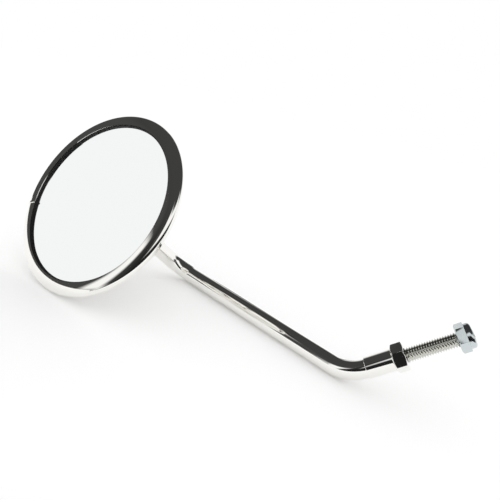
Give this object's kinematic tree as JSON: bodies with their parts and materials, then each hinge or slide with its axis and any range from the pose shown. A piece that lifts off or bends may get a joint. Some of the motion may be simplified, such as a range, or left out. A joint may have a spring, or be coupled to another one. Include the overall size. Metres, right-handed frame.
{
  "type": "bicycle mirror",
  "caption": "Round chrome bicycle mirror on a ball joint, with a bent tube stem ending in an M6 mounting stud and lock nut.",
  "frame": {"origin": "on the stud's axis, in the clamping face of the jam nut, where the handlebar bracket sits", "axes": "-Z runs along the stud away from the stem; the two bends of the stem lie in the XZ plane with the stem rising towards +X and +Z; the mirror looks along about -Y"},
  "size_m": [0.1288, 0.08, 0.1672],
  "materials": {
    "chrome": "bright chrome plate on steel",
    "bezel_chrome": "bright chrome plate, rolled edge",
    "shell_chrome": "bright chrome plate on pressed steel",
    "mirror": "silvered glass",
    "gasket_rubber": "matte black rubber",
    "pad_foam": "matte closed-cell foam",
    "zinc_steel": "zinc-plated pressed steel",
    "rivet_steel": "plain steel",
    "cup_chrome": "chrome plate, machined steel",
    "spring_steel": "blued spring steel",
    "nylon": "natural nylon",
    "ball_steel": "chrome plate, turned steel",
    "stud_chrome": "chrome plate over a rolled thread",
    "nut_chrome": "bright chrome plate, forged hexagon",
    "lock_nut_zinc": "bright zinc, forged hexagon",
    "insert_nylon": "natural nylon"
  },
  "bodies": {
    "stem": {"stem_tube": "chrome", "ferrule": "chrome", "threaded_stud": "stud_chrome", "ball_end": "ball_steel"},
    "rear_liner": {"rear_liner": "nylon"},
    "front_liner": {"front_liner": "nylon"},
    "head": {"back_shell": "shell_chrome", "bezel_ring": "bezel_chrome", "mirror_glass": "mirror", "glass_gasket": "gasket_rubber", "backing_pad": "pad_foam", "stiffener_plate": "zinc_steel", "cup_rivets": "rivet_steel", "socket_cup": "cup_chrome", "socket_collar": "cup_chrome", "pressure_disc": "zinc_steel", "disc_spring": "spring_steel"},
    "jam_nut": {"jam_nut": "nut_chrome"},
    "lock_nut": {"lock_nut": "lock_nut_zinc", "lock_insert": "insert_nylon"}
  },
  "joints": [
    {"name": "head_spin", "type": "hinge", "parent": "stem", "child": "rear_liner", "pos_m": [0.0843, -0.0446, 0.09748], "axis": [0, 1, 0], "continuous": true},
    {"name": "head_tilt", "type": "hinge", "parent": "rear_liner", "child": "front_liner", "pos_m": [0.0843, -0.0446, 0.09748], "axis": [1, 0, 0], "range_deg": [-16, 19]},
    {"name": "head_pan", "type": "hinge", "parent": "front_liner", "child": "head", "pos_m": [0.0843, -0.0446, 0.09748], "axis": [0, 0, 1], "range_deg": [-8.5, 27]},
    {"name": "jam_nut_travel", "type": "slide", "parent": "stem", "child": "jam_nut", "axis": [0, 0, -1], "range_m": [0, 0.008]},
    {"name": "lock_nut_travel", "type": "slide", "parent": "stem", "child": "lock_nut", "axis": [0, 0, 1], "range_m": [0, 0.01]}
  ]
}
